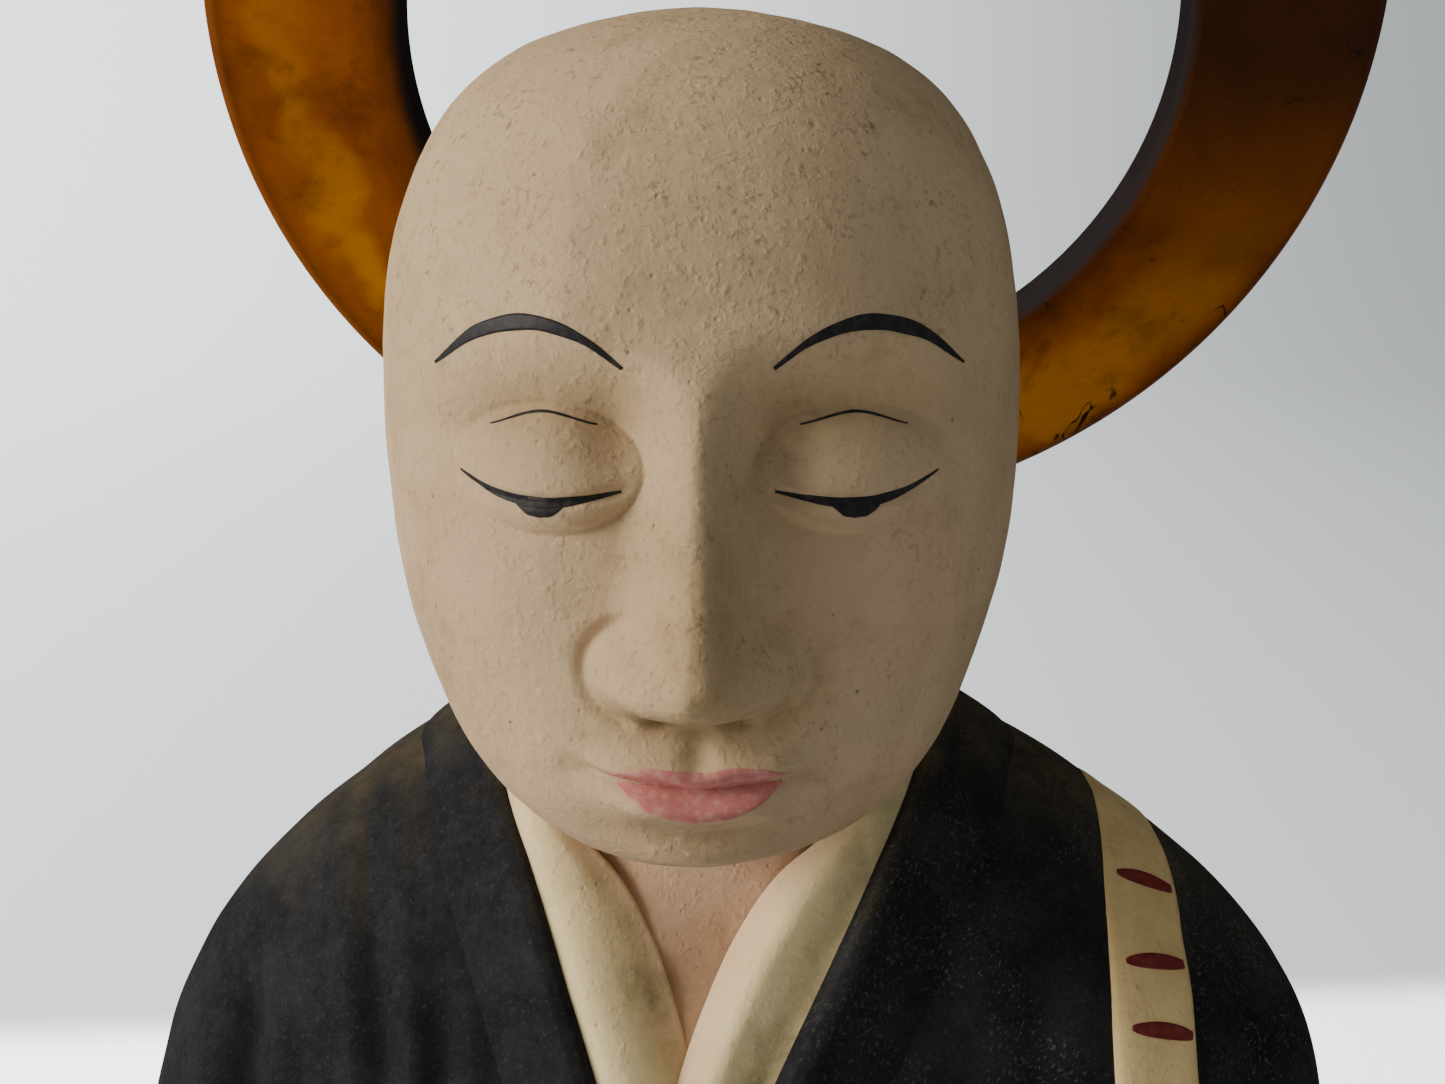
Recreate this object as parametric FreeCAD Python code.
"""Seated monk doll of painted bisque clay, on a wooden plinth with a leaning amber ring behind the head.

Millimetres, +Z up, front towards -Y. The origin is the centre of the plinth's footprint, at the level
of the surface that the feet stand on. The figure is hollow: two pressed halves luted together, a
separately pressed head on a neck stub, and applied strips of clay for the collars and the strap. The
ring stands on a brass post whose square tenon lifts out of a socket in the plinth.
"""

import FreeCAD
import Part

import math
import os

from FreeCAD import Matrix, Vector

# ---------------------------------------------------------------- driving dimensions
FIGURE_HEIGHT = 176.5
HEAD_HEIGHT = 57.0
HEAD_WIDTH = 46.0
CLAY_WALL = 4.0
RING_OUTER_R = 52.7
RING_INNER_R = 35.3
RING_THICKNESS = 5.0
RING_LEAN_DEG = 25.6                        # its top leans forwards, over the head
RING_TURN_DEG = 4.1                         # its +X side stands a little further back
PLINTH_WIDTH = 164.0
PLINTH_DEPTH = 124.0
PLINTH_THICKNESS = 14.0
FOOT_HEIGHT = 2.0
FOOT_R = 7.0

# ---------------------------------------------------------------- places worked out from them
PLINTH_TOP = FOOT_HEIGHT + PLINTH_THICKNESS
FELT_THICKNESS = 1.0
SEAT = PLINTH_TOP + FELT_THICKNESS          # the clay figure's lowest plane
FIGURE_X = -3.0                             # the figure stands a little left of the ring's axis
HEAD_CENTRE = Vector(FIGURE_X, -8.0, SEAT + FIGURE_HEIGHT - HEAD_HEIGHT / 2)
RING_CENTRE = Vector(2.5, 27.0, SEAT + 175.1)

# Heights above the seat, half widths, front depths, back depths and squareness of the robe's outline.
ROBE_STATIONS = (
    (0.0, 69.0, 46.0, 36.0, 2.5),
    (9.0, 74.0, 51.0, 38.0, 2.5),
    (21.0, 74.0, 51.0, 38.0, 2.4),
    (36.0, 67.5, 44.0, 37.0, 2.3),
    (52.0, 61.0, 35.0, 35.5, 2.3),
    (70.0, 56.0, 29.0, 34.0, 2.3),
    (84.0, 52.5, 26.0, 32.5, 2.3),
    (96.0, 47.5, 23.0, 30.0, 2.2),
    (105.0, 41.0, 19.5, 27.0, 2.1),
    (112.5, 33.0, 15.5, 23.0, 2.0),
    (119.0, 23.0, 11.0, 18.0, 2.0),
    (124.0, 13.0, 8.0, 13.0, 2.0),
)
OUTLINE_POINTS = 28

# Heights from the head's centre, half widths, and how far the outline reaches forwards and backwards.
HEAD_STATIONS = (
    (-28.5, 5.0, 18.5, -6.0),
    (-26.7, 10.0, 21.5, -2.0),
    (-22.3, 15.4, 23.8, 7.0),
    (-15.1, 19.2, 25.0, 14.5),
    (-7.1, 21.5, 25.5, 20.5),
    (2.7, 22.7, 25.5, 25.0),
    (10.7, 22.7, 24.8, 26.5),
    (17.8, 21.0, 22.4, 25.0),
    (23.2, 17.2, 18.0, 21.0),
    (26.7, 11.2, 11.5, 15.0),
    (28.5, 4.0, 4.5, 8.0),
)

NECK_R = 10.0
NECK_BORE_R = 6.0
NECK_Y = -3.0
NECK_BOTTOM = SEAT + 100.0
NECK_TOP = SEAT + 130.0
SLAB_THICKNESS = 5.0
VENT_R = 8.0
HEAD_WALL = 3.5
SEAM_Y = 0.0
HEAD_SEAM_Y = HEAD_CENTRE.y + 3.0

STRIP_HEIGHT = 1.6
STRAP_HEIGHT = 0.9
V_APEX = (FIGURE_X - 1.7, SEAT + 75.6)      # (x, z) where the robe's fronts cross
V_TOP_RIGHT = (FIGURE_X - 13.4, SEAT + 122.5)   # the figure's own right and left
V_TOP_LEFT = (FIGURE_X + 15.9, SEAT + 124.0)
COLLAR_BAND = 7.5
LAPEL_BAND = 9.0
STRAP_WIDTH = 7.4
STRAP_X = FIGURE_X + 35.6
STRAP_END_Z = SEAT + 40.0

POST_R = 2.5
TENON_SIDE = 4.0
TENON_LENGTH = 12.0
SOCKET_CLEARANCE = 0.05
SOCKET_R = 5.0
FLANGE_R = 9.0
FLANGE_THICKNESS = 1.6
FLANGE_SCREW_CIRCLE_R = 6.9
FLANGE_SCREW_R = 0.8
FLANGE_SCREW_LENGTH = 9.0
SADDLE_WIDTH = 18.0
SADDLE_CHEEK = 2.2
SADDLE_GRIP = 6.0                           # how far the cheeks reach up the ring
SADDLE_BLOCK = 7.0                          # solid brass below the ring's edge
PIN_R = 1.0
PIN_SPACING = 10.0
PEG_HEIGHT = 9.0
PEG_CLEARANCE = 0.4
PEG_SUNK = 6.0

FAR = 400.0                                 # larger than the object, for trimming boxes


# ---------------------------------------------------------------- shape helpers
def cylinder(radius, base, height, axis=Vector(0, 0, 1)):
    """A cylinder from the point base, along axis."""
    return Part.makeCylinder(radius, height, base, axis)


def centred_box(size_x, size_y, size_z, centre):
    """A box of the given size about its centre."""
    corner = centre - Vector(size_x / 2, size_y / 2, size_z / 2)
    return Part.makeBox(size_x, size_y, size_z, corner)


def prism_through_y(points, y_from, y_to):
    """A polygon given as (x, z) points, extruded from one Y to another."""
    corners = [Vector(x, y_from, z) for x, z in points]
    face = Part.Face(Part.makePolygon(corners + corners[:1]))
    return face.extrude(Vector(0, y_to - y_from, 0))


def ellipsoid(centre, radius_x, radius_y, radius_z):
    """A solid ellipsoid: a unit sphere stretched to its three radii."""
    stretch = Matrix()
    stretch.scale(radius_x, radius_y, radius_z)
    solid = Part.makeSphere(1.0).transformGeometry(stretch)
    solid.translate(centre)
    return solid


def closed_outline(centre, half_width, front, back, squareness):
    """One closed level curve: a superellipse that can be deeper at the front or the back."""
    power = 2.0 / squareness
    points = []
    for step in range(OUTLINE_POINTS):
        angle = 2 * math.pi * (step + 0.5) / OUTLINE_POINTS
        across, along = math.cos(angle), math.sin(angle)
        depth = back if along > 0 else front
        x = math.copysign(abs(across) ** power, across) * half_width
        y = math.copysign(abs(along) ** power, along) * depth
        points.append(centre + Vector(x, y, 0))
    curve = Part.BSplineCurve()
    curve.interpolate(Points=points, PeriodicFlag=True)
    return Part.Wire(curve.toShape())


def robe_outline(height, half_width, front, back, squareness):
    """One closed outline of the robe at a height above the seat."""
    return closed_outline(
        Vector(FIGURE_X, 0, SEAT + height), half_width, front, back, squareness
    )


def robe_form(grow=0.0, stations=ROBE_STATIONS):
    """The robe as one solid, grown or, with a negative grow, shrunk sideways by that much."""
    outlines = [
        robe_outline(height, half_width + grow, front + grow, back + grow, squareness)
        for height, half_width, front, back, squareness in stations
    ]
    return Part.makeLoft(outlines, True, False)


def in_ring_frame(shape):
    """Moves a shape from the ring's own frame (centre at 0, axis along Y) to its leaning place."""
    placed = shape.copy()
    placed.rotate(Vector(0, 0, 0), Vector(1, 0, 0), RING_LEAN_DEG)
    placed.rotate(Vector(0, 0, 0), Vector(0, 0, 1), RING_TURN_DEG)
    placed.translate(RING_CENTRE)
    return placed


def largest_solid(shape):
    """The one solid that counts when a cut leaves crumbs beside it."""
    return max(shape.Solids, key=lambda solid: solid.Volume)


# ---------------------------------------------------------------- the stand
def make_plinth():
    """Wooden board with rounded corners, a bevelled top edge, and pockets for the peg and the socket."""
    board = centred_box(
        PLINTH_WIDTH, PLINTH_DEPTH, PLINTH_THICKNESS,
        Vector(0, 0, FOOT_HEIGHT + PLINTH_THICKNESS / 2),
    )
    upright = [edge for edge in board.Edges if abs(edge.tangentAt(edge.FirstParameter).z) > 0.99]
    board = board.makeFillet(9.0, upright)
    top_face = max(board.Faces, key=lambda face: face.CenterOfMass.z)
    board = board.makeChamfer(2.5, top_face.Edges)
    peg_pocket = cylinder(
        VENT_R - PEG_CLEARANCE, Vector(FIGURE_X, 0, PLINTH_TOP - PEG_SUNK), PEG_SUNK + 1
    )
    socket_hole = cylinder(SOCKET_R, post_axis_at(FOOT_HEIGHT - 1), PLINTH_THICKNESS + 2)
    board = board.cut(peg_pocket).cut(socket_hole)
    for centre in flange_screw_places():
        board = board.cut(cylinder(
            FLANGE_SCREW_R, centre - Vector(0, 0, FLANGE_SCREW_LENGTH), FLANGE_SCREW_LENGTH + 1
        ))
    return board


def make_foot(side_x, side_y):
    """Round felt foot near one corner of the plinth."""
    inset = 16.0
    place = Vector(
        side_x * (PLINTH_WIDTH / 2 - inset), side_y * (PLINTH_DEPTH / 2 - inset), 0
    )
    return cylinder(FOOT_R, place, FOOT_HEIGHT)


def flange_screw_places():
    """Points on the plinth's top where the socket's two flange screws go in."""
    return [
        post_axis_at(PLINTH_TOP) + Vector(side * FLANGE_SCREW_CIRCLE_R, 0, 0) for side in (-1, 1)
    ]


def make_post_socket():
    """Flanged brass bush with a square hole, pressed into the plinth."""
    body = cylinder(SOCKET_R, post_axis_at(FOOT_HEIGHT), PLINTH_THICKNESS)
    flange = cylinder(FLANGE_R, post_axis_at(PLINTH_TOP), FLANGE_THICKNESS)
    side = TENON_SIDE + 2 * SOCKET_CLEARANCE
    hole = centred_box(side, side, FAR, post_axis_at(PLINTH_TOP))
    socket = body.fuse(flange).removeSplitter().cut(hole)
    for centre in flange_screw_places():
        socket = socket.cut(cylinder(FLANGE_SCREW_R, centre, FLANGE_THICKNESS + 1))
    return socket


def make_flange_screws():
    """Two small round-head wood screws through the flange."""
    screws = []
    for centre in flange_screw_places():
        shank = cylinder(
            FLANGE_SCREW_R,
            centre - Vector(0, 0, FLANGE_SCREW_LENGTH),
            FLANGE_SCREW_LENGTH + FLANGE_THICKNESS,
        )
        head_r = 2 * FLANGE_SCREW_R
        head_centre = centre + Vector(0, 0, FLANGE_THICKNESS)
        dome = ellipsoid(head_centre, head_r, head_r, 0.9)
        above = centred_box(10, 10, 10, head_centre + Vector(0, 0, 5))
        slot = centred_box(4 * head_r, 0.5, 0.8, head_centre + Vector(0, 0, 0.9))
        screws.append(shank.fuse(dome.common(above)).cut(slot))
    return Part.makeCompound(screws)


def make_peg():
    """Wooden peg that stands in the plinth and enters the figure's vent hole with clearance."""
    radius = VENT_R - PEG_CLEARANCE
    peg = cylinder(radius, Vector(FIGURE_X, 0, PLINTH_TOP - PEG_SUNK), PEG_SUNK + PEG_HEIGHT)
    top_edge = max(peg.Edges, key=lambda edge: edge.CenterOfMass.z)
    return peg.makeChamfer(1.2, [top_edge])


def make_felt():
    """Felt sheet glued under the figure, with a hole for the peg."""
    first = ROBE_STATIONS[0]
    inset = 4.0
    outline = robe_outline(-FELT_THICKNESS, first[1] - inset, first[2] - inset,
                           first[3] - inset, first[4])
    sheet = Part.Face(outline).extrude(Vector(0, 0, FELT_THICKNESS))
    return sheet.cut(cylinder(VENT_R, Vector(FIGURE_X, 0, PLINTH_TOP - 1), 4))


# ---------------------------------------------------------------- the halo
def post_axis_at(height):
    """Point of the post's axis at a height, under the middle of the saddle's block."""
    reach = RING_OUTER_R + SADDLE_BLOCK / 2
    back = reach * math.sin(math.radians(RING_LEAN_DEG))
    turn = math.radians(RING_TURN_DEG)
    return Vector(
        RING_CENTRE.x - back * math.sin(turn), RING_CENTRE.y + back * math.cos(turn), height
    )


def post_top_z():
    """Height of the post's upper end, inside the saddle's block."""
    reach = RING_OUTER_R + SADDLE_BLOCK / 2
    return RING_CENTRE.z - reach * math.cos(math.radians(RING_LEAN_DEG)) + 0.5


def ring_slab(inner, outer, thickness):
    """A flat ring in the ring's own frame."""
    start = Vector(0, -thickness / 2, 0)
    along_y = Vector(0, 1, 0)
    disc = cylinder(outer, start, thickness, along_y)
    return disc.cut(cylinder(inner, start, thickness, along_y)) if inner else disc


def pin_holes():
    """The two pins' cylinders, in the ring's own frame."""
    length = RING_THICKNESS + 2 * SADDLE_CHEEK
    level = -math.sqrt((RING_OUTER_R - SADDLE_GRIP / 2) ** 2 - (PIN_SPACING / 2) ** 2)
    return [
        cylinder(PIN_R, Vector(side * PIN_SPACING / 2, -length / 2, level), length, Vector(0, 1, 0))
        for side in (-1, 1)
    ]


def make_halo_ring():
    """Flat amber-coloured ring with softened edges, drilled for the saddle's pins."""
    ring = ring_slab(RING_INNER_R, RING_OUTER_R, RING_THICKNESS)
    ring = ring.makeFillet(1.2, [e for e in ring.Edges if e.Length > 2 * math.pi * RING_INNER_R - 1])
    for pin in pin_holes():
        ring = ring.cut(pin)
    return in_ring_frame(ring)


def make_halo_saddle():
    """Brass fork that holds the ring's lowest point, with a blind hole for the post."""
    low = -(RING_OUTER_R + SADDLE_BLOCK)
    height = SADDLE_BLOCK + SADDLE_GRIP
    block = centred_box(
        SADDLE_WIDTH, RING_THICKNESS + 2 * SADDLE_CHEEK, height,
        Vector(0, 0, low + height / 2),
    )
    upright = [e for e in block.Edges if abs(e.tangentAt(e.FirstParameter).z) > 0.99]
    block = block.makeFillet(1.5, upright)
    block = block.cut(ring_slab(0, RING_OUTER_R, RING_THICKNESS))
    for pin in pin_holes():
        block = block.cut(pin)
    block = in_ring_frame(block)
    return largest_solid(block.cut(cylinder(POST_R, post_axis_at(0), post_top_z())))


def make_saddle_pins():
    """Two brass pins pressed through the cheeks and the ring."""
    return Part.makeCompound([in_ring_frame(pin) for pin in pin_holes()])


def make_halo_post():
    """Round brass post with a square tenon at its foot."""
    shoulder_z = PLINTH_TOP + FLANGE_THICKNESS
    rod = cylinder(POST_R, post_axis_at(shoulder_z), post_top_z() - shoulder_z)
    collar = cylinder(POST_R + 1.2, post_axis_at(shoulder_z), 3.0)
    collar_top = max(collar.Edges, key=lambda edge: edge.CenterOfMass.z)
    collar = collar.makeChamfer(0.8, [collar_top])
    tenon = centred_box(
        TENON_SIDE, TENON_SIDE, TENON_LENGTH,
        post_axis_at(shoulder_z - TENON_LENGTH / 2),
    )
    return rod.fuse(collar).fuse(tenon)


# ---------------------------------------------------------------- the clay body
def robe_hollow():
    """The space inside the robe, open at its foot."""
    inner = robe_form(-CLAY_WALL, [s for s in ROBE_STATIONS if s[0] < 113.0])
    below = [
        (-1.0,) + ROBE_STATIONS[0][1:],
        (0.0,) + ROBE_STATIONS[0][1:],
    ]
    return inner.fuse(robe_form(-CLAY_WALL, below))


def neck_column(radius):
    """The neck's cylinder, up to where it sits in the head."""
    return cylinder(radius, Vector(FIGURE_X, NECK_Y, NECK_BOTTOM), NECK_TOP - NECK_BOTTOM)


def make_robe_shell():
    """The robe with its hollow, its neck hole and the seat of the head, still in one piece."""
    shell = robe_form().cut(robe_hollow())
    return largest_solid(shell.cut(neck_column(NECK_R)).cut(head_form()))


def make_robe_half(shell, front):
    """Front or back pressed half of the robe."""
    corner = Vector(-FAR / 2, SEAM_Y - FAR if front else SEAM_Y, -10)
    return largest_solid(shell.common(Part.makeBox(FAR, FAR, FAR, corner)))


def make_base_slab():
    """Clay slab luted inside the robe's foot, with the vent hole that lets steam out in the kiln."""
    first = ROBE_STATIONS[0]
    outline = robe_outline(0.0, first[1] - CLAY_WALL, first[2] - CLAY_WALL,
                           first[3] - CLAY_WALL, first[4])
    slab = Part.Face(outline).extrude(Vector(0, 0, SLAB_THICKNESS))
    return slab.common(robe_hollow()).cut(
        cylinder(VENT_R, Vector(FIGURE_X, 0, SEAT - 1), SLAB_THICKNESS + 2)
    )


def make_sleeve(side, robe):
    """One forearm in its hanging sleeve, lying over the lap. Side is -1 or 1 along X."""
    # x from the figure's middle, y, height above the seat, half depth, half height
    spans = (
        (50.0, -9.0, 66.0, 8.0, 12.0),
        (44.0, -18.0, 59.0, 13.0, 19.0),
        (31.0, -32.0, 49.0, 15.0, 23.0),
        (14.0, -42.0, 42.0, 13.0, 22.0),
        (0.2, -44.0, 40.0, 11.0, 20.0),
    )
    wires = []
    for across, y, height, half_depth, half_height in spans:
        ellipse = Part.Ellipse(Vector(0, 0, 0), half_height, half_depth)
        wire = Part.Wire(ellipse.toShape())
        wire.rotate(Vector(0, 0, 0), Vector(0, 1, 0), 90)
        wire.translate(Vector(FIGURE_X + side * across, y, SEAT + height))
        wires.append(wire)
    form = Part.makeLoft(wires, True, False)
    return largest_solid(form.cut(robe))


def band(start, end, width, inward):
    """Polygon of a straight band from start to end, lying on one side of that line."""
    run = Vector(end[0] - start[0], 0, end[1] - start[1])
    across = Vector(run.z, 0, -run.x).normalize() * (width * inward)
    return [
        start,
        end,
        (end[0] + across.x, end[1] + across.z),
        (start[0] + across.x, start[1] + across.z),
    ]


def make_strip(polygon, height, robe, y_from=-FAR / 4, y_to=-6.0):
    """A thin clay strip on the robe's front, inside a polygon in X and Z, clear of the head and neck."""
    strip = prism_through_y(polygon, y_from, y_to).common(robe_form(height)).cut(robe)
    return largest_solid(strip.cut(head_form()).cut(neck_column(NECK_R)))


def make_neck():
    """Neck stub: a short clay tube luted into the robe and into the head."""
    return neck_column(NECK_R).cut(neck_column(NECK_BORE_R))


def head_form(shrink=0.0):
    """Ovoid head, from the chin's underside to the crown, shrunk all round by the wall for its hollow."""
    outlines = []
    stations = HEAD_STATIONS
    if shrink:
        stations = [s for s in stations if abs(s[0]) < HEAD_HEIGHT / 2 - shrink]
    for height, half_width, front, back in stations:
        middle = (back - front) / 2
        depth = (back + front) / 2 - shrink
        outlines.append(closed_outline(
            Vector(HEAD_CENTRE.x, HEAD_CENTRE.y + middle, HEAD_CENTRE.z + height),
            half_width - shrink, depth, depth, 2.1,
        ))
    return Part.makeLoft(outlines, True, False)


def make_head_half(front):
    """Front (face) or back half of the hollow head, split just behind the ears."""
    corner = Vector(-FAR / 2, HEAD_SEAM_Y - FAR if front else HEAD_SEAM_Y, -10)
    shell = head_form().cut(head_form(HEAD_WALL)).cut(neck_column(NECK_R))
    return largest_solid(shell.common(Part.makeBox(FAR, FAR, FAR, corner)))


# ---------------------------------------------------------------- everything together
def build():
    """All the object's pieces by name."""
    robe = robe_form()
    shell = make_robe_shell()
    pieces = {
        "plinth": make_plinth(),
        "post_socket": make_post_socket(),
        "flange_screws": make_flange_screws(),
        "locating_peg": make_peg(),
        "figure_felt": make_felt(),
        "halo_ring": make_halo_ring(),
        "halo_saddle": make_halo_saddle(),
        "saddle_pins": make_saddle_pins(),
        "halo_post": make_halo_post(),
        "robe_front_half": make_robe_half(shell, True),
        "robe_back_half": make_robe_half(shell, False),
        "base_slab": make_base_slab(),
        "neck_stub": make_neck(),
        "head_face_half": make_head_half(True),
        "head_back_half": make_head_half(False),
    }
    for row, side_y in (("front", -1), ("back", 1)):
        for column, side_x in (("right", -1), ("left", 1)):
            pieces[f"foot_{row}_{column}"] = make_foot(side_x, side_y)
    right_sleeve = make_sleeve(-1, robe)
    pieces["sleeve_right"] = right_sleeve
    pieces["sleeve_left"] = make_sleeve(1, robe).cut(right_sleeve)

    inner_left = band(V_TOP_LEFT, V_APEX, COLLAR_BAND, 1)
    inner_right = band(V_TOP_RIGHT, V_APEX, COLLAR_BAND, -1)
    pieces["inner_collar_left"] = make_strip(inner_left, STRIP_HEIGHT, robe)
    pieces["inner_collar_right"] = largest_solid(
        make_strip(inner_right, STRIP_HEIGHT, robe).cut(pieces["inner_collar_left"])
    )
    pieces["lapel_left"] = make_strip(
        band(V_TOP_LEFT, V_APEX, LAPEL_BAND, -1), STRIP_HEIGHT, robe
    )
    pieces["lapel_right"] = largest_solid(make_strip(
        band(V_TOP_RIGHT, V_APEX, LAPEL_BAND, 1), STRIP_HEIGHT, robe
    ).cut(pieces["lapel_left"]).cut(pieces["inner_collar_left"]))
    half = STRAP_WIDTH / 2
    strap_outline = [
        (STRAP_X - half, STRAP_END_Z), (STRAP_X + half, STRAP_END_Z),
        (STRAP_X + half, SEAT + FIGURE_HEIGHT), (STRAP_X - half, SEAT + FIGURE_HEIGHT),
    ]
    strap = make_strip(strap_outline, STRAP_HEIGHT, robe, -FAR / 4, FAR / 4)
    pieces["shoulder_strap"] = largest_solid(strap.cut(pieces["sleeve_left"]))
    return pieces


def main():
    """Writes one STEP file for each piece."""
    os.makedirs("parts", exist_ok=True)
    for name, shape in build().items():
        if not shape.isValid():
            print("not valid:", name)
        shape.exportStep(f"parts/{name}.step")
        box = shape.BoundBox
        print(f"{name:20s} {len(shape.Solids)} solid(s) {shape.Volume / 1000:8.2f} cm3"
              f"  x {box.XMin:7.1f} {box.XMax:7.1f}  y {box.YMin:7.1f} {box.YMax:7.1f}"
              f"  z {box.ZMin:7.1f} {box.ZMax:7.1f}")


main()
